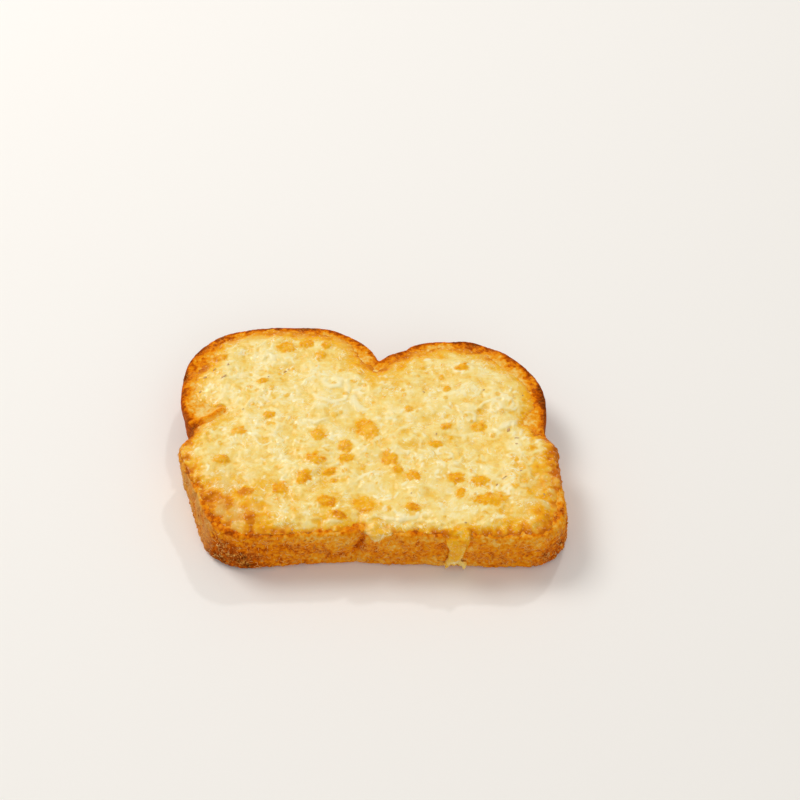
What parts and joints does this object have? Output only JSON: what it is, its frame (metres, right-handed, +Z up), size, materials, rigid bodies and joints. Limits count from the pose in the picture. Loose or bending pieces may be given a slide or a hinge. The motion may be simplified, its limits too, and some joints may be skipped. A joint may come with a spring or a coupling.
{
  "type": "slice of cheese garlic bread",
  "caption": "Thick toasted slice of a split-top white loaf under melted, blistered cheese; garlic bread as a side dish for a plate or table scene",
  "frame": {"origin": "centre of the bounding box in plan, on the flat underside of the bread", "axes": "+X along the width of the slice, +Y towards the crown, +Z up through the cheese"},
  "size_m": [0.1232, 0.0912, 0.0183],
  "materials": {
    "toasted_bread": null,
    "melted_cheese": null
  },
  "bodies": {
    "root": {"bread_slice": "toasted_bread", "melted_cheese": "melted_cheese"}
  },
  "joints": []
}
